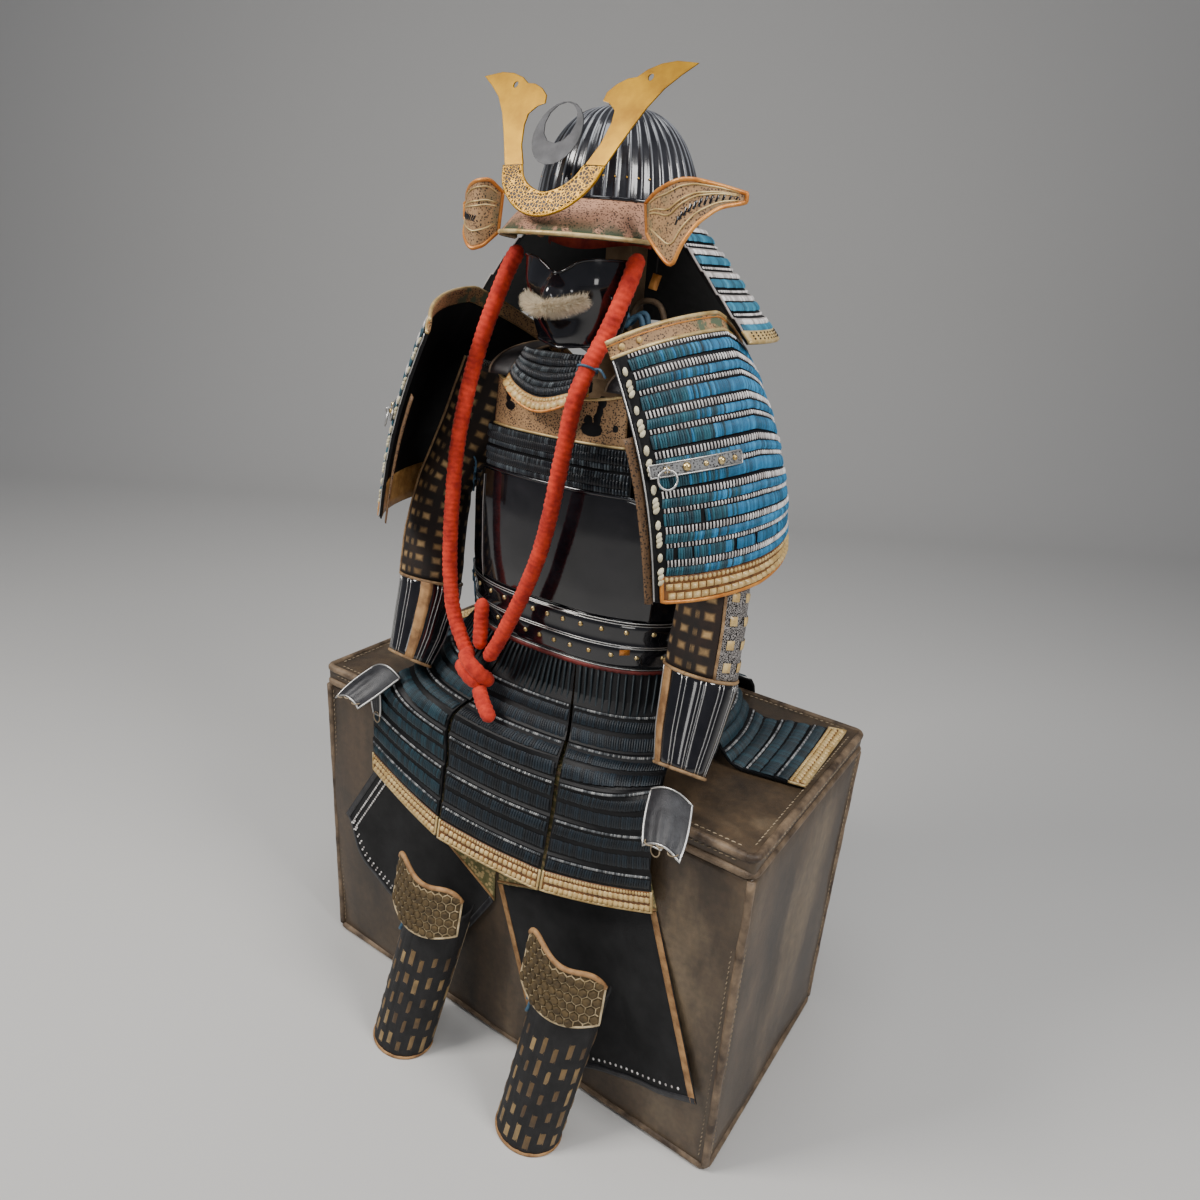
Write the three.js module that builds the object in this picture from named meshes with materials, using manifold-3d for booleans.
// A samurai armour set out on its leather trunk, with the plain wooden stand
// inside it that carries the cuirass, the mask and the helmet.
// Millimetres, +Z up. The armour faces -Y, and +X is the wearer's left.
// The origin is the centre of the trunk's underside.
import * as THREE from 'three';
import { mergeVertices } from 'three/addons/utils/BufferGeometryUtils.js';
import Module from 'manifold-3d';

const wasm = await Module();
wasm.setup();

// ---- Driving dimensions -------------------------------------------------
const GAP = 0.3;                 // between pieces that meet
const CLOTH = 2;                 // laced, quilted and brocaded walls
const PLATE = 2.5;               // lacquered plate walls
const STEP = 4;                  // how far a lame's head stands over the lame above
const TRUNK = { width: 850, depth: 430, height: 602, wall: 10, lid: 36 };
const LID_TOP = TRUNK.height;
const EDGE_Y = TRUNK.depth / 2;  // front and back edges of the lid

// The cuirass in plan, from the shoulders down: a rounded oval.
const TORSO_POWER = 2.6;
const TORSO = [
  { z: 1150, halfWidth: 186, halfDepth: 138 },
  { z: 1033, halfWidth: 204, halfDepth: 143 },
  { z: 950, halfWidth: 210, halfDepth: 145 },
  { z: 860, halfWidth: 212, halfDepth: 144 },
  { z: 800, halfWidth: 207, halfDepth: 141 },
  { z: 740, halfWidth: 200, halfDepth: 138 },
];
const CUIRASS = { chestTop: 1150, chestBottom: 1077, lamesBottom: 1012, armhole: 962,
  waistTop: 826, bottom: 742, backTop: 1146 };

// The helmet bowl: an oval dome on its base line.
const HELMET = { y: -8, base: 1366, height: 143, halfWidth: 110, halfLength: 120, wall: 2.5 };

// ---- Helpers --------------------------------------------------------------
const group = new THREE.Group();
const rad = THREE.MathUtils.degToRad;
const mix = THREE.MathUtils.lerp;
const smooth = THREE.MathUtils.smoothstep;

const lacquer = () => new THREE.MeshStandardMaterial({ color: 0x0c0b0d, roughness: 0.2 });
const lacing = () => new THREE.MeshStandardMaterial({ color: 0x2e6f8c, roughness: 0.75 });
const darkLacing = () => new THREE.MeshStandardMaterial({ color: 0x12303e, roughness: 0.75 });
const leather = () => new THREE.MeshStandardMaterial({ color: 0xb39a7c, roughness: 0.6 });
const trunkLeather = () => new THREE.MeshStandardMaterial({ color: 0x5a4332, roughness: 0.6 });
const brocade = () => new THREE.MeshStandardMaterial({ color: 0xa08a5c, roughness: 0.8 });
const blackCloth = () => new THREE.MeshStandardMaterial({ color: 0x0d0d10, roughness: 0.85 });
const gilt = () => new THREE.MeshStandardMaterial({ color: 0xd8a53a, roughness: 0.35, metalness: 1 });
const steel = () => new THREE.MeshStandardMaterial({ color: 0x6c6f73, roughness: 0.4, metalness: 1 });
const crepe = () => new THREE.MeshStandardMaterial({ color: 0xd9482f, roughness: 0.8 });
const fur = () => new THREE.MeshStandardMaterial({ color: 0xd9c7a0, roughness: 0.9 });
const wood = () => new THREE.MeshStandardMaterial({ color: 0x8a6a45, roughness: 0.7 });

function add(name, geometry, material) {
  const mesh = new THREE.Mesh(geometry, material);
  mesh.name = name;
  group.add(mesh);
  return mesh;
}

// A table's value at one height, between its rows.
function lookUp(rows, key, value, column) {
  const falling = rows[0][key] > rows[rows.length - 1][key];
  for (let i = 1; i < rows.length; i += 1) {
    const past = falling ? value >= rows[i][key] : value <= rows[i][key];
    if (past || i === rows.length - 1) {
      const t = (value - rows[i - 1][key]) / (rows[i][key] - rows[i - 1][key]);
      return mix(rows[i - 1][column], rows[i][column], t);
    }
  }
  return rows[0][column];
}

// A point on a rounded oval, seen from above: angle 0 is the front, 90 the wearer's left.
function ovalPoint(angle, halfWidth, halfDepth, power = 2) {
  const side = Math.sin(rad(angle));
  const front = Math.cos(rad(angle));
  const sum = Math.abs(side / halfWidth) ** power + Math.abs(front / halfDepth) ** power;
  const reach = sum ** (-1 / power);
  return [reach * side, -reach * front];
}

function torsoPoint(angle, z, out) {
  const halfWidth = lookUp(TORSO, 'z', z, 'halfWidth') + out;
  const halfDepth = lookUp(TORSO, 'z', z, 'halfDepth') + out;
  return [...ovalPoint(angle, halfWidth, halfDepth, TORSO_POWER), z];
}

function signedVolume(positions, index) {
  let sum = 0;
  const corner = [new THREE.Vector3(), new THREE.Vector3(), new THREE.Vector3()];
  for (let i = 0; i < index.length; i += 3) {
    corner.forEach((c, k) => c.fromArray(positions, index[i + k] * 3));
    sum += corner[0].dot(corner[1].clone().cross(corner[2]));
  }
  return sum;
}

// Rows of a plain wall, and rows of a laced one, whose every lame stands out at its head.
const evenRows = (count) => Array.from({ length: count + 1 }, (_, i) => ({ v: i / count, out: 0 }));
function steppedRows(heads, step = STEP) {
  const rows = [];
  for (let lame = 0; lame < heads.length - 1; lame += 1) {
    rows.push({ v: heads[lame], out: step }, { v: heads[lame + 1] - 0.012, out: step * 0.35 });
  }
  rows[rows.length - 1].v = heads[heads.length - 1];
  return rows;
}
function lameRows(count, start = 0, end = 1, step = STEP) {
  const heads = Array.from({ length: count + 1 }, (_, lame) => mix(start, end, lame / count));
  return steppedRows(heads, step);
}

// A closed wall. pointAt(u, v, out) gives its outer face for out >= 0, and its
// inner face for out = -thickness. u runs across and v down, both from 0 to 1.
function wall(columns, rows, pointAt, thickness, ring = false) {
  const across = ring ? columns : columns + 1;
  const positions = [];
  for (const inner of [false, true]) {
    for (const row of rows) {
      for (let c = 0; c < across; c += 1) {
        positions.push(...pointAt(c / columns, row.v, inner ? -thickness : row.out));
      }
    }
  }
  const layer = rows.length * across;
  const at = (r, c, inner) => (inner ? layer : 0) + r * across + (c % across);
  const index = [];
  const quad = (a, b, c, d) => index.push(a, b, c, a, c, d);
  for (let r = 0; r + 1 < rows.length; r += 1) {
    for (let c = 0; c < columns; c += 1) {
      quad(at(r, c), at(r + 1, c), at(r + 1, c + 1), at(r, c + 1));
      quad(at(r, c, true), at(r, c + 1, true), at(r + 1, c + 1, true), at(r + 1, c, true));
    }
    if (!ring) {
      quad(at(r, 0), at(r, 0, true), at(r + 1, 0, true), at(r + 1, 0));
      quad(at(r, columns), at(r + 1, columns), at(r + 1, columns, true), at(r, columns, true));
    }
  }
  const last = rows.length - 1;
  for (let c = 0; c < columns; c += 1) {
    quad(at(0, c), at(0, c + 1), at(0, c + 1, true), at(0, c, true));
    quad(at(last, c), at(last, c, true), at(last, c + 1, true), at(last, c + 1));
  }
  if (signedVolume(positions, index) < 0) {
    index.reverse();
  }
  const geometry = new THREE.BufferGeometry();
  geometry.setAttribute('position', new THREE.Float32BufferAttribute(positions, 3));
  geometry.setIndex(index);
  return geometry;
}

// A flat outline of the given thickness, standing in a plane that faces -Y.
function upright(points, thickness, holes = []) {
  const shape = new THREE.Shape(points.map(([x, z]) => new THREE.Vector2(x, z)));
  holes.forEach((hole) => shape.holes.push(hole));
  const geometry = new THREE.ExtrudeGeometry(shape, { depth: thickness, bevelEnabled: false,
    curveSegments: 6 });
  return geometry.rotateX(Math.PI / 2);
}

function curveThrough(points) {
  return new THREE.CatmullRomCurve3(points.map((p) => new THREE.Vector3(...p)), false, 'centripetal');
}

function tube(points, radius, steps, sides = 8) {
  const section = new THREE.Shape();
  for (let i = 0; i < sides; i += 1) {
    const a = (2 * Math.PI * i) / sides;
    const corner = [radius * Math.cos(a), radius * Math.sin(a)];
    if (i === 0) section.moveTo(...corner);
    else section.lineTo(...corner);
  }
  return new THREE.ExtrudeGeometry(section, { steps, bevelEnabled: false,
    extrudePath: curveThrough(points) });
}

function box(width, depth, height, x, y, bottom) {
  return new THREE.BoxGeometry(width, depth, height).translate(x, y, bottom + height / 2);
}

function solid(geometry) {
  const bare = geometry.clone();
  bare.deleteAttribute('normal');
  bare.deleteAttribute('uv');
  const merged = mergeVertices(bare);
  return new wasm.Manifold(new wasm.Mesh({ numProp: 3,
    vertProperties: new Float32Array(merged.attributes.position.array),
    triVerts: new Uint32Array(merged.index.array) }));
}

function geometryOf(manifold) {
  const mesh = manifold.getMesh();
  const geometry = new THREE.BufferGeometry();
  geometry.setAttribute('position', new THREE.Float32BufferAttribute(mesh.vertProperties, 3));
  geometry.setIndex(Array.from(mesh.triVerts));
  return geometry;
}

const SIDES = [{ side: 'left', s: 1 }, { side: 'right', s: -1 }];

// ---- Trunk and inner stand --------------------------------------------------
function makeTrunk() {
  const { width, depth, height, wall: t, lid } = TRUNK;
  const bodyTop = height - lid - GAP;
  const body = solid(box(width, depth, bodyTop, 0, 0, 0))
    .subtract(solid(box(width - 2 * t, depth - 2 * t, bodyTop, 0, 0, t)));
  add('trunk_body', geometryOf(body), trunkLeather());
  const cover = solid(box(width, depth, lid, 0, 0, height - lid))
    .subtract(solid(box(width - 2 * t, depth - 2 * t, lid - t, 0, 0, height - lid - 1)));
  add('trunk_lid', geometryOf(cover), trunkLeather());
}

const STAND = { footWidth: 250, footDepth: 190, footHeight: 22, post: 44, barZ: 1112, barHeight: 34,
  barWidth: 250, headZ: 1366, headHeight: 94, headRadius: 50, y: 22 };
function makeStand() {
  const base = LID_TOP + GAP;
  const { y } = STAND;
  const head = new THREE.CylinderGeometry(STAND.headRadius * 0.8, STAND.headRadius,
    STAND.headHeight, 16).rotateX(Math.PI / 2).translate(0, y, STAND.headZ + STAND.headHeight / 2);
  const stand = solid(box(STAND.footWidth, STAND.footDepth, STAND.footHeight, 0, y, base))
    .add(solid(box(STAND.post, STAND.post, STAND.headZ + 10 - base, 0, y, base)))
    .add(solid(box(STAND.barWidth, 60, STAND.barHeight, 0, y, STAND.barZ)))
    .add(solid(head));
  add('stand', geometryOf(stand), wood());
}

// ---- Helmet -----------------------------------------------------------------
function bowlPoint(turn, rise, out) {
  const { base, height, halfWidth, halfLength } = HELMET;
  const z = Math.sin(rad(rise)) * (height + out);
  const shrink = Math.cos(rad(rise)) ** 0.82;
  return [(halfWidth + out) * shrink * Math.sin(rad(turn)),
    HELMET.y - (halfLength + out) * shrink * Math.cos(rad(turn)), base + z];
}

function makeBowl() {
  const topRise = 83;
  add('helmet_bowl', wall(22, evenRows(6),
    (u, v, out) => bowlPoint(360 * u, mix(topRise, 0, v ** 1.1), out), HELMET.wall, true), lacquer());
  const crownBase = HELMET.base + HELMET.height;
  const profile = [[7, -3], [15, 1.5], [22, 1.2], [20, 4], [14, 6], [10, 11], [7, 11]];
  const points = profile.map(([r, z]) => new THREE.Vector2(r, z));
  const fitting = new THREE.LatheGeometry([...points, points[0]], 12).rotateX(Math.PI / 2);
  add('crown_fitting', fitting.translate(0, HELMET.y, crownBase + GAP), gilt());
}

const PEAK = { halfAngle: 64, top: 1388, rim: 1341, rimHalfWidth: 136, rimFront: 184, drop: 4, x: -4 };
function peakPoint(u, v, out) {
  const turn = mix(-PEAK.halfAngle, PEAK.halfAngle, u);
  const spread = (2 * u - 1) ** 2;
  const z = mix(PEAK.top, PEAK.rim - PEAK.drop * spread, v);
  const [x0, y0] = ovalPoint(turn, HELMET.halfWidth + 4, HELMET.halfLength + 4);
  const [x1, y1] = ovalPoint(turn, PEAK.rimHalfWidth, PEAK.rimFront, 2.2);
  const bulge = 5 * Math.sin(Math.PI * v);
  return [mix(x0, x1, v) + PEAK.x * v, HELMET.y + mix(y0, y1, v), z + bulge + out];
}

// The turn-backs: the front ends of the neck guard's top lame, folded out and back.
// The two have been bent unevenly over the years.
const TURNBACKS = {
  left: [
    { u: 0, topX: 114, topZ: 1384, bottomX: 119, bottomZ: 1350 },
    { u: 0.15, topX: 137, topZ: 1396, bottomX: 142, bottomZ: 1334 },
    { u: 0.3, topX: 158, topZ: 1403, bottomX: 174, bottomZ: 1311 },
    { u: 0.45, topX: 176, topZ: 1409, bottomX: 186, bottomZ: 1339 },
    { u: 0.6, topX: 192, topZ: 1410, bottomX: 200, bottomZ: 1363 },
    { u: 0.8, topX: 213, topZ: 1406, bottomX: 216, bottomZ: 1383 },
    { u: 1, topX: 236, topZ: 1400, bottomX: 236, bottomZ: 1391 },
  ],
  right: [
    { u: 0, topX: 117, topZ: 1392, bottomX: 124, bottomZ: 1342 },
    { u: 0.2, topX: 123, topZ: 1406, bottomX: 135, bottomZ: 1322 },
    { u: 0.4, topX: 138, topZ: 1404, bottomX: 148, bottomZ: 1317 },
    { u: 0.6, topX: 159, topZ: 1397, bottomX: 166, bottomZ: 1327 },
    { u: 0.8, topX: 186, topZ: 1388, bottomX: 191, bottomZ: 1341 },
    { u: 1, topX: 216, topZ: 1378, bottomX: 216, bottomZ: 1359 },
  ],
};
function turnbackPoint(side, s, u, v, out) {
  const at = (column) => lookUp(TURNBACKS[side], 'u', u, column);
  const x = mix(at('topX'), at('bottomX'), v) + out * 0.4;
  const y = -120 - 34 * Math.sin(Math.PI * Math.min(1, u * 1.05)) + 30 * u * u - out * 0.9;
  return [s * x, y, mix(at('topZ'), at('bottomZ'), v)];
}

const NECK = { lames: 5, top: 1362, bottom: 1227, topAngle: 112, bottomAngle: 99.5,
  topHalfWidth: 116, topHalfLength: 128, bottomHalfWidth: 246, bottomHalfLength: 222 };
function neckPoint(u, v, out) {
  const reach = mix(NECK.topAngle, NECK.bottomAngle, v ** 0.7);
  const turn = 180 + mix(-reach, reach, u);
  const flare = v ** 0.92;
  const halfWidth = mix(NECK.topHalfWidth, NECK.bottomHalfWidth, flare) + out * 0.75;
  const halfLength = mix(NECK.topHalfLength, NECK.bottomHalfLength, flare) + out * 0.75;
  const [x, y] = ovalPoint(turn, halfWidth, halfLength);
  return [x, HELMET.y + y, mix(NECK.top, NECK.bottom, v) + out * 0.65];
}

// The crest: a pierced holder on the peak, two flat horns and a thin moon between.
const CREST = { foot: 1362, lean: 25.6, thickness: 2.5, y: -189 };
const HORN = [[49, 1422], [62, 1446], [68, 1470], [67, 1484], [56, 1493], [45, 1496], [47, 1506],
  [58, 1515], [72, 1521], [84, 1522], [96, 1530], [114, 1536], [134, 1538], [164, 1534],
  [145, 1521], [128, 1507], [112, 1486], [97, 1458], [79, 1421]];
const HOLDER_OUTER = [[79, 1420], [71, 1399], [53, 1380], [28, 1366], [0, 1361]];
const HOLDER_INNER = [[0, 1388], [25, 1395], [41, 1407], [49, 1421]];
function leanBack(geometry, layer) {
  const lean = Math.tan(rad(CREST.lean));
  const position = geometry.attributes.position;
  for (let i = 0; i < position.count; i += 1) {
    const z = position.getZ(i);
    position.setY(i, CREST.y + position.getY(i) - layer + (z - CREST.foot) * lean);
  }
  return geometry;
}

function makeCrest() {
  const mirror = (points) => points.map(([x, z]) => [-x, z]).reverse();
  const outer = [...HOLDER_OUTER, ...mirror(HOLDER_OUTER).slice(1)];
  const inner = [...mirror(HOLDER_INNER), ...HOLDER_INNER.slice(1)];
  const holder = upright([...outer, ...inner], CREST.thickness);
  add('crest_holder', leanBack(holder, CREST.thickness + GAP), gilt());
  for (const { side, s } of SIDES) {
    const outline = HORN.map(([x, z]) => [s * x, z]);
    const hole = new THREE.Path().absarc(s * 104, 1521, 4, 0, 2 * Math.PI, false);
    add(`horn_${side}`, leanBack(upright(outline, CREST.thickness, [hole]), 0), gilt());
  }
  const moon = { x: -13, z: 1460, radius: 38, hole: 24.6, rise: 12.3 };
  const circle = Array.from({ length: 22 }, (_, i) => {
    const a = (2 * Math.PI * i) / 22;
    return [moon.x + moon.radius * Math.cos(a), moon.z + moon.radius * Math.sin(a)];
  });
  const opening = new THREE.Path().absarc(moon.x, moon.z + moon.rise, moon.hole, 0, 2 * Math.PI);
  add('crest_moon', leanBack(upright(circle, 1.5, [opening]), -3), steel());
}

// ---- Mask -------------------------------------------------------------------
// A calm half mask: an even oval face with a short nose and a round chin.
const MASK = { top: 1316, bottom: 1199, halfAngle: 84, halfWidth: 88, front: 64, centreY: -80 };
const bump = (x, centre, width) => Math.exp(-(((x - centre) / width) ** 2));
function maskPoint(u, v, out) {
  const turn = mix(-MASK.halfAngle, MASK.halfAngle, u);
  const level = v;
  const narrow = 1 - 0.26 * level ** 2;
  const noseWidth = mix(7, 15, smooth(level, 0.05, 0.38));
  const nose = 24 * bump(turn, 0, noseWidth) * smooth(level, -0.1, 0.34) * (1 - smooth(level, 0.4, 0.5));
  const chin = 9 * bump(turn, 0, 26) * bump(level, 0.9, 0.14);
  const lips = -4 * bump(turn, 0, 22) * bump(level, 0.66, 0.06);
  const cheeks = 5 * (bump(turn, 46, 18) + bump(turn, -46, 18)) * bump(level, 0.3, 0.2);
  const push = nose + chin + lips + cheeks + out;
  const [x, y] = ovalPoint(turn, MASK.halfWidth * narrow, MASK.front * narrow, 2.2);
  const [nx, ny] = ovalPoint(turn, 1, 1);
  const dip = 20 * bump(turn, 0, 24) * (1 - level);
  const top = MASK.top - dip;
  return [x + nx * push, MASK.centreY + y + ny * push, mix(top, MASK.bottom + 10 * Math.abs(2 * u - 1), v)];
}

const THROAT = { lames: 4, top: 1194, bottom: 1116, lift: 34 };
function throatPoint(u, v, out) {
  const turn = mix(-74, 74, u);
  const halfWidth = mix(60, 80, v) + out;
  const depth = mix(34, 46, v) + out;
  const [x, y] = ovalPoint(turn, halfWidth, depth, 2.4);
  const spread = (2 * u - 1) ** 2;
  return [x - 6, mix(-106, -124, v) + y, mix(THROAT.top, THROAT.bottom, v) + THROAT.lift * spread * v];
}

// ---- Cuirass ----------------------------------------------------------------
const SEAM_ANGLE = 89.93;
function makeCuirass() {
  const frontTop = (turn) => mix(CUIRASS.lamesBottom - GAP, CUIRASS.armhole,
    smooth(Math.abs(turn), 44, 76));
  add('front_plate', wall(14, evenRows(3), (u, v, out) => {
    const turn = mix(-SEAM_ANGLE, SEAM_ANGLE, u);
    return torsoPoint(turn, mix(frontTop(turn), CUIRASS.waistTop + GAP, v), out);
  }, PLATE), lacquer());
  const backTop = (turn) => mix(CUIRASS.backTop, CUIRASS.armhole, smooth(Math.abs(turn), 40, 74));
  add('back_plate', wall(14, evenRows(4), (u, v, out) => {
    const turn = mix(-SEAM_ANGLE, SEAM_ANGLE, u);
    return torsoPoint(180 + turn, mix(backTop(turn), CUIRASS.waistTop + GAP, v), out);
  }, PLATE), lacquer());
  for (const { name, centre } of [{ name: 'waist_front', centre: 0 }, { name: 'waist_back', centre: 180 }]) {
    add(name, wall(14, lameRows(2, 0, 1, 3), (u, v, out) => {
      const turn = centre + mix(-SEAM_ANGLE, SEAM_ANGLE, u);
      return torsoPoint(turn, mix(CUIRASS.waistTop, CUIRASS.bottom, v), out);
    }, PLATE), lacquer());
  }
  add('upper_front_lames', wall(8, lameRows(2), (u, v, out) => {
    const turn = mix(-46, 46, u);
    return torsoPoint(turn, mix(CUIRASS.chestBottom, CUIRASS.lamesBottom, v), out + 1);
  }, CLOTH), darkLacing());
  add('chest_plate', wall(8, evenRows(1), (u, v, out) => {
    const ends = Math.abs(2 * u - 1);
    const turn = mix(-43, 43, u);
    const top = CUIRASS.chestTop - 14 * (1 - ends ** 3);
    return torsoPoint(turn, mix(top, CUIRASS.chestBottom + GAP, v), out);
  }, PLATE), leather());
  const strapArc = 14;
  for (const { side, s } of SIDES) {
    add(`shoulder_strap_${side}`, wall(strapArc, evenRows(1), (u, v, out) => {
      const swing = Math.PI * u;
      const reach = 134 + out;
      const x = mix(82, 124, v) + 4 * Math.sin(swing);
      return [s * x, -reach * Math.cos(swing), 1151 + (40 + out) * Math.sin(swing)];
    }, 3), blackCloth());
  }
}

// ---- Skirt tassets ------------------------------------------------------------
// Seven tassets hang on laces from the cuirass. Each crosses the lid and hangs over
// its edge, or lies on it. 'turn' is the place on the waist, and edge and foot give
// the lid crossing and the lower edge at the tasset's two ends.
const TASSET_WIDTH = 50.6;
const FRONT_FOOT = 408;
const TASSETS = [
  { name: 'tasset_front', turn: 0, edge: [[-104, -EDGE_Y], [104, -EDGE_Y]],
    foot: [[-102, -262, FRONT_FOOT], [108, -264, FRONT_FOOT + 8]] },
  { name: 'tasset_front_left', turn: 51.4, edge: [[112, -EDGE_Y], [276, -EDGE_Y]],
    foot: [[113, -264, FRONT_FOOT + 10], [288, -232, 450]] },
  { name: 'tasset_front_right', turn: -51.4, edge: [[-276, -EDGE_Y], [-112, -EDGE_Y]],
    foot: [[-288, -232, 446], [-107, -262, FRONT_FOOT + 2]] },
  { name: 'tasset_side_left', turn: 102.9, edge: [[302, -42], [262, 132]],
    foot: [[412, -20], [404, 186]] },
  { name: 'tasset_side_right', turn: -102.9, edge: [[-262, 132], [-302, -42]],
    foot: [[-404, 186], [-412, -20]] },
  { name: 'tasset_back_left', turn: 154.3, edge: [[210, EDGE_Y], [6, EDGE_Y]],
    foot: [[232, 240, 450], [6, 244, 440]] },
  { name: 'tasset_back_right', turn: -154.3, edge: [[-6, EDGE_Y], [-210, EDGE_Y]],
    foot: [[-6, 244, 440], [-232, 240, 450]] },
];
const LACES_END = 0.17;          // share of the hang that is bare laces
const LYING = LID_TOP + CLOTH + 1.6;

function tassetPoint(row, u, v, out) {
  const turn = row.turn + mix(-TASSET_WIDTH / 2, TASSET_WIDTH / 2, u);
  const top = torsoPoint(turn, CUIRASS.bottom - 1, 2.5);
  const ex = mix(row.edge[0][0], row.edge[1][0], u);
  const ey = mix(row.edge[0][1], row.edge[1][1], u);
  const fx = mix(row.foot[0][0], row.foot[1][0], u);
  const fy = mix(row.foot[0][1], row.foot[1][1], u);
  const hangs = row.foot[0].length === 3;
  const swell = Math.sin(Math.PI * u) * 4;
  let knots;
  if (hangs) {
    const away = Math.sign(row.edge[0][1]);
    const fz = mix(row.foot[0][2], row.foot[1][2], u) - swell;
    const shoulder = [mix(top[0], ex, 0.62), mix(top[1], ey, 0.6), mix(top[2], LYING, 0.7)];
    knots = [top, shoulder, [ex, ey + away * 10, LYING + 12], [mix(ex, fx, 0.3), ey + away * 21, 548],
      [fx, fy, fz]];
  } else {
    knots = [top, [mix(top[0], ex, 0.6), mix(top[1], ey, 0.6), mix(top[2], LYING, 0.62)],
      [ex, ey, LYING + 5], [mix(ex, fx, 0.5), mix(ey, fy, 0.5), LYING + 1], [fx, fy, LYING]];
  }
  const path = new THREE.CatmullRomCurve3(knots.map((k) => new THREE.Vector3(...k)), false, 'centripetal');
  path.arcLengthDivisions = 40;
  const point = path.getPointAt(v);
  const down = path.getTangentAt(v);
  const across = new THREE.Vector3(Math.cos(rad(turn)), Math.sin(rad(turn)), 0);
  const face = down.clone().cross(across).normalize();
  if (face.z < -0.2 || face.dot(new THREE.Vector3(Math.sin(rad(turn)), -Math.cos(rad(turn)), 0.6)) < 0) {
    face.negate();
  }
  return point.addScaledVector(face, out).toArray();
}

function makeTassets() {
  const rows = [{ v: 0, out: 0 }, { v: LACES_END - 0.012, out: 0 }, ...lameRows(5, LACES_END, 1)];
  for (const row of TASSETS) {
    add(row.name, wall(4, rows, (u, v, out) => tassetPoint(row, u, v, out), 1.5), darkLacing());
  }
}

// ---- Shoulder guards ------------------------------------------------------------
// Each hangs outside its sleeve and curves round it, more at the top than at the foot.
const SODE = { top: 1224, bottom: 922, plateShare: 0.066, topX: 142, bottomX: 246, bow: 17, arch: 40,
  centreY: -56, topHalf: 174, bottomHalf: 184, fan: 62, flange: 4, backDrop: 70, backLift: 16,
  heads: [0.126, 0.265, 0.411, 0.557, 0.693, 0.825] };
const SODE_BULGE = [{ v: 0, bulge: 60 }, { v: 0.15, bulge: 72 }, { v: 0.35, bulge: 78 },
  { v: 0.7, bulge: 78 }, { v: 1, bulge: 68 }];
function sodePoint(s, u, v, out) {
  const across = 2 * u - 1;
  const half = mix(SODE.topHalf, SODE.bottomHalf, v);
  const bulge = lookUp(SODE_BULGE, 'v', v, 'bulge');
  const angle = rad(across * SODE.fan);
  const ends = Math.cos(rad(SODE.fan));
  const flange = SODE.flange * Math.max(0, 1 - v / SODE.plateShare) ** 1.6;
  const x = mix(SODE.topX, SODE.bottomX, v) + SODE.bow * Math.sin(Math.PI * v)
    + bulge * (Math.cos(angle) - ends) / (1 - ends);
  const y = SODE.centreY + half * Math.sin(angle) / Math.sin(rad(SODE.fan));
  const z = mix(SODE.top, SODE.bottom, v) + SODE.arch * (1 - across ** 2) * (1 - v)
    - (SODE.backDrop * (1 - v) - SODE.backLift * v) * Math.max(0, across + 0.08);
  const face = new THREE.Vector3(Math.cos(angle) * 0.95, Math.sin(angle) * 0.95, 0.31);
  const reach = out + flange;
  return [s * (x + face.x * reach), y + face.y * reach, z + face.z * out];
}

// A studded strip with a hinged ring, on the shoulder guard's front half. The ring
// hangs in an eye at the strip's front end and swings up and outwards.
const FITTING = { from: 0.03, to: 0.35, v: 0.485, height: 15, lift: 6, thickness: 2 };
const RING = { u: 0.08, radius: 12, wire: 1.5, eyeHole: 3, eyeWidth: 3, eyeHeight: 9 };
function fittingFrame(s, u, v, out) {
  const point = new THREE.Vector3(...sodePoint(s, u, v, out));
  const along = new THREE.Vector3(...sodePoint(s, u + 0.02, v, out)).sub(point).normalize();
  const rise = new THREE.Vector3(...sodePoint(s, u, v - 0.02, out)).sub(point);
  rise.addScaledVector(along, -rise.dot(along)).normalize();
  const face = rise.clone().cross(along).normalize();
  if (face.x * s < 0) face.negate();
  const frame = new THREE.Matrix4().makeBasis(along, face.clone(), along.clone().cross(face));
  return frame.setPosition(point);
}

function makeShoulderGuard(side, s) {
  const plateEnd = SODE.plateShare - 0.004;
  add(`sode_plate_${side}`, wall(10, [{ v: 0, out: 0 }, { v: plateEnd / 2, out: 0 }, { v: plateEnd, out: 0 }],
    (u, v, out) => sodePoint(s, u, v, out), PLATE), leather());
  add(`sode_lames_${side}`, wall(10, steppedRows([SODE.plateShare, ...SODE.heads, 1]),
    (u, v, out) => sodePoint(s, u, v, out), CLOTH), lacing());
  const half = FITTING.height / 2 / (SODE.top - SODE.bottom);
  const surface = FITTING.lift + FITTING.thickness;
  const strip = solid(wall(5, evenRows(1), (u, v, out) => sodePoint(s,
    mix(FITTING.from, FITTING.to, u), mix(FITTING.v - half, FITTING.v + half, v),
    surface + out), FITTING.thickness));
  const frame = fittingFrame(s, RING.u, FITTING.v, surface);
  const holeOut = RING.eyeHole + 1.6;
  const eye = new THREE.BoxGeometry(RING.eyeWidth, holeOut + 5, RING.eyeHeight)
    .translate(0, (holeOut + 5) / 2 - 1, 0).applyMatrix4(frame);
  const hole = new THREE.CylinderGeometry(RING.eyeHole, RING.eyeHole, 20, 10)
    .rotateZ(Math.PI / 2).translate(0, holeOut, 0).applyMatrix4(frame);
  add(`sode_fitting_${side}`, geometryOf(strip.add(solid(eye)).subtract(solid(hole))), steel());
  const down = frame.elements[10] > 0 ? -1 : 1;
  const ring = new THREE.TorusGeometry(RING.radius, RING.wire, 6, 14).rotateX(Math.PI / 2)
    .translate(0, holeOut, down * RING.radius).applyMatrix4(frame);
  add(`ring_${side}`, ring, steel());
}

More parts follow.
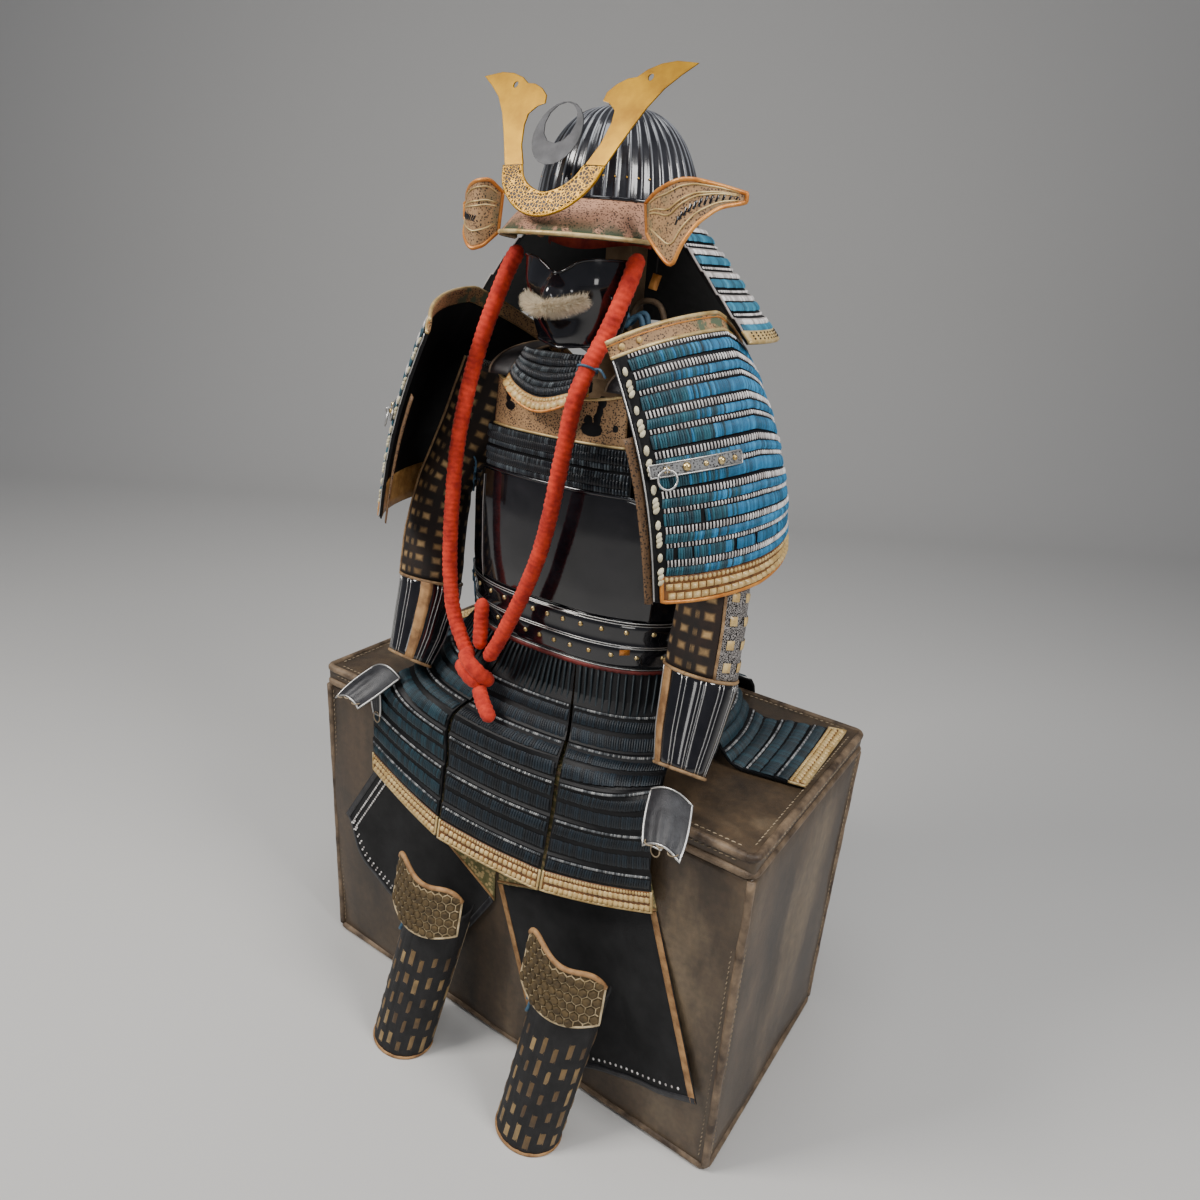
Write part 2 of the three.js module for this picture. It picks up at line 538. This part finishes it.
// ---- Sleeves and hands ------------------------------------------------------------
const SLEEVE = [
  { t: 0, x: 198, y: -30, z: 1142, r: 52 },
  { t: 0.2, x: 222, y: -50, z: 1050, r: 53 },
  { t: 0.42, x: 258, y: -84, z: 950, r: 44 },
  { t: 0.6, x: 262, y: -108, z: 862, r: 50 },
  { t: 0.78, x: 260, y: -132, z: 775, r: 51 },
  { t: 0.9, x: 260, y: -166, z: 710, r: 44 },
  { t: 1, x: 262, y: -194, z: 668, r: 35 },
];
const SLEEVE_SPLIT = 0.74;
const ARMS_SHIFT = 26;           // both wrists lie this far towards the wearer's left
const HAND_SHIFT = 12;
function sleevePoint(s, turn, t, out) {
  const at = (column, when) => lookUp(SLEEVE, 't', when, column);
  const spine = (when) => new THREE.Vector3(at('x', when), at('y', when), at('z', when));
  const axis = spine(Math.min(1, t + 0.05)).sub(spine(Math.max(0, t - 0.05))).normalize();
  const front = new THREE.Vector3(0, -1, 0).addScaledVector(axis, axis.y).normalize();
  const outer = front.clone().cross(axis).normalize();
  const reach = at('r', t) + out;
  const point = spine(t).addScaledVector(front, reach * Math.cos(rad(turn)))
    .addScaledVector(outer, -reach * Math.sin(rad(turn)));
  return [s * point.x + armShift(t), point.y, point.z];
}

const armShift = (t) => ARMS_SHIFT * Math.max(0, (t - 0.45) / 0.55) ** 1.5;
function makeSleeve(side, s) {
  const turnOf = (u) => 360 * u;
  add(`sleeve_${side}`, wall(10, evenRows(5), (u, v, out) => sleevePoint(s, turnOf(u),
    mix(0, SLEEVE_SPLIT - 0.002, v), out), CLOTH, true), brocade());
  add(`forearm_guard_${side}`, wall(12, evenRows(2), (u, v, out) => sleevePoint(s, turnOf(u),
    mix(SLEEVE_SPLIT, 1, v), out), CLOTH, true), lacquer());
  add(`hand_guard_${side}`, wall(5, evenRows(3), (u, v, out) => {
    const across = 2 * u - 1;
    const wide = mix(33, 37, v) * (1 - 0.25 * v ** 3);
    const x = mix(280, 306, v) + wide * across;
    const arch = 13 * (1 - across ** 2);
    return [s * x + HAND_SHIFT, mix(-216, -282, v), mix(640, 604, v) + arch + out - 6 * v * v];
  }, 2), blackCloth());
  add(`thumb_plate_${side}`, wall(3, evenRows(3), (u, v, out) => {
    const across = 2 * u - 1;
    const wide = 12 * (1 - 0.35 * v ** 4);
    return [s * (286 - 8 * v + wide * across) + HAND_SHIFT, -238 - 4 * v - out, mix(634, 570, v)];
  }, 2), steel());
}

// ---- Thigh apron ---------------------------------------------------------------
// Two panels that lie on the lid under the tassets and hang over the trunk's front,
// swung apart at the foot. Brocade above, black cloth below.
const APRONS = [
  { side: 'left', x: -8, topZ: 334, tilt: 20, width: 318, drop: 318 },
  { side: 'right', x: -16, topZ: 292, tilt: 31, width: 318, drop: 228 },
];
const APRON_Y = -(EDGE_Y + 3);
function makeAprons() {
  for (const row of APRONS) {
    const s = row.side === 'left' ? 1 : -1;
    const across = new THREE.Vector2(s * Math.cos(rad(row.tilt)), Math.sin(rad(row.tilt)));
    const down = new THREE.Vector2(s * Math.sin(rad(row.tilt)), -Math.cos(rad(row.tilt)));
    const corner = new THREE.Vector2(row.x, row.topZ);
    const onFront = (u, drop) => corner.clone().addScaledVector(across, u * row.width)
      .addScaledVector(down, drop);
    add(`apron_panel_${row.side}`, wall(6, evenRows(4), (u, v, out) => {
      const curl = row.side === 'right' ? 60 * smooth(u, 0.62, 1) ** 1.5 : 0;
      const p = onFront(u, mix(0, row.drop - curl, v));
      return [p.x, APRON_Y - out - 9 * v * (1 + 0.4 * Math.sin(9 * u)), p.y];
    }, CLOTH), blackCloth());
    add(`apron_band_${row.side}`, wall(6, [0, 0.2, 0.21, 0.6, 1].map((v) => ({ v, out: 0 })), (u, v, out) => {
      const p = onFront(u, -GAP);
      const lidPart = 0.2;
      const x = mix(s * (12 + 214 * u), p.x, v);
      if (v <= lidPart) {
        const y = mix(-146, APRON_Y - 0.7 * out, v / lidPart);
        return [x, y, LID_TOP + CLOTH + 0.4 + 0.7 * out];
      }
      const t = (v - lidPart) / (1 - lidPart);
      return [x, APRON_Y - out, mix(LID_TOP, p.y, t)];
    }, CLOTH), brocade());
  }
}

// ---- Shin guards and knee guards ---------------------------------------------------
const SHINS = [
  { side: 'left', footX: 158, kneeX: 186, face: 4 },
  { side: 'right', footX: -130, kneeX: -96, face: 4 },
];
const SHIN = { footY: -312, kneeY: -246, height: 282, footRadius: 55, kneeRadius: 58, wrap: 108 };
function makeShins() {
  for (const row of SHINS) {
    const at = (u, v, out, radius) => {
      const turn = row.face + mix(-SHIN.wrap, SHIN.wrap, u);
      const [dx, dy] = ovalPoint(turn, radius + out, (radius + out) * 0.82);
      return [dx, dy];
    };
    add(`shin_guard_${row.side}`, wall(9, evenRows(3), (u, v, out) => {
      const [dx, dy] = at(u, v, out, mix(SHIN.kneeRadius, SHIN.footRadius, v ** 0.8));
      return [mix(row.kneeX, row.footX, v) + dx, mix(SHIN.kneeY, SHIN.footY, v) + dy - 12,
        mix(SHIN.height, 0, v)];
    }, CLOTH), blackCloth());
    add(`knee_guard_${row.side}`, wall(14, evenRows(4), (u, v, out) => {
      const across = 2 * u - 1;
      const dx = 74 * across;
      const dy = -60 - out + 26 * across ** 2;
      const lobes = 16 * bump(across, -0.64, 0.42) + 9 * bump(across, 0.74, 0.4);
      const top = 354 + lobes - 10 * across - 16 * across ** 8;
      const bottom = 262 + 16 * across ** 2;
      const lean = mix(0, -16, v);
      return [row.kneeX + 2 + dx * mix(0.95, 1, v), SHIN.kneeY - 8 + dy + lean, mix(top, bottom, v)];
    }, 3), brocade());
  }
}

// ---- Helmet cord --------------------------------------------------------------------
// Two thick crepe-covered strands hang from inside the helmet to one loose knot.
const CORD_RADIUS = 12;
const CORD_LEFT = [[98, -100, 1326], [97, -112, 1300], [91, -124, 1266], [79, -138, 1222],
  [66, -158, 1176], [60, -172, 1138], [53, -177, 1086], [44, -179, 1032], [34, -180, 976],
  [20, -180, 920], [2, -182, 868], [-22, -184, 812], [-48, -188, 756], [-66, -193, 722]];
const CORD_RIGHT = [[-100, -100, 1326], [-108, -112, 1300], [-118, -124, 1262], [-132, -136, 1210],
  [-146, -146, 1150], [-156, -154, 1090], [-163, -160, 1030], [-167, -164, 960], [-168, -168, 890],
  [-163, -173, 830], [-148, -180, 775], [-120, -187, 732], [-98, -192, 712]];
const KNOT = { x: -82, y: -193, z: 703 };
function makeCord() {
  add('cord_left', tube(CORD_LEFT, CORD_RADIUS, 20), crepe());
  add('cord_right', tube(CORD_RIGHT, CORD_RADIUS, 20), crepe());
  const knot = new THREE.SphereGeometry(1, 10, 7).scale(17, 19, 19);
  add('cord_knot', knot.translate(KNOT.x, KNOT.y, KNOT.z - 4), crepe());
  add('cord_end_up', tube([[-87, -186, 731], [-92, -178, 768], [-96, -171, 812]], CORD_RADIUS, 4), crepe());
  add('cord_end_down', tube([[-72, -205, 683], [-50, -219, 665], [-20, -232, 646]], CORD_RADIUS, 3), crepe());
}

// ---- Assembly -------------------------------------------------------------------------
makeTrunk();
makeStand();
makeBowl();
add('peak', wall(14, evenRows(3), peakPoint, PLATE), leather());
add('neck_guard', wall(16, lameRows(NECK.lames), neckPoint, CLOTH), lacing());
makeCrest();
add('face_mask', wall(14, evenRows(9), maskPoint, PLATE), lacquer());
add('moustache', tube([[-50, -143, 1250], [-30, -161, 1257], [0, -170, 1259], [30, -161, 1257],
  [50, -143, 1250]], 8, 10), fur());
add('throat_guard', wall(8, lameRows(THROAT.lames, 0, 1, 3), throatPoint, CLOTH), darkLacing());
makeCuirass();
makeTassets();
for (const { side, s } of SIDES) {
  add(`turnback_${side}`, wall(10, evenRows(4),
    (u, v, out) => turnbackPoint(side, s, u, v, out), PLATE), leather());
  makeShoulderGuard(side, s);
  makeSleeve(side, s);
}
makeAprons();
makeShins();
makeCord();

export default group;
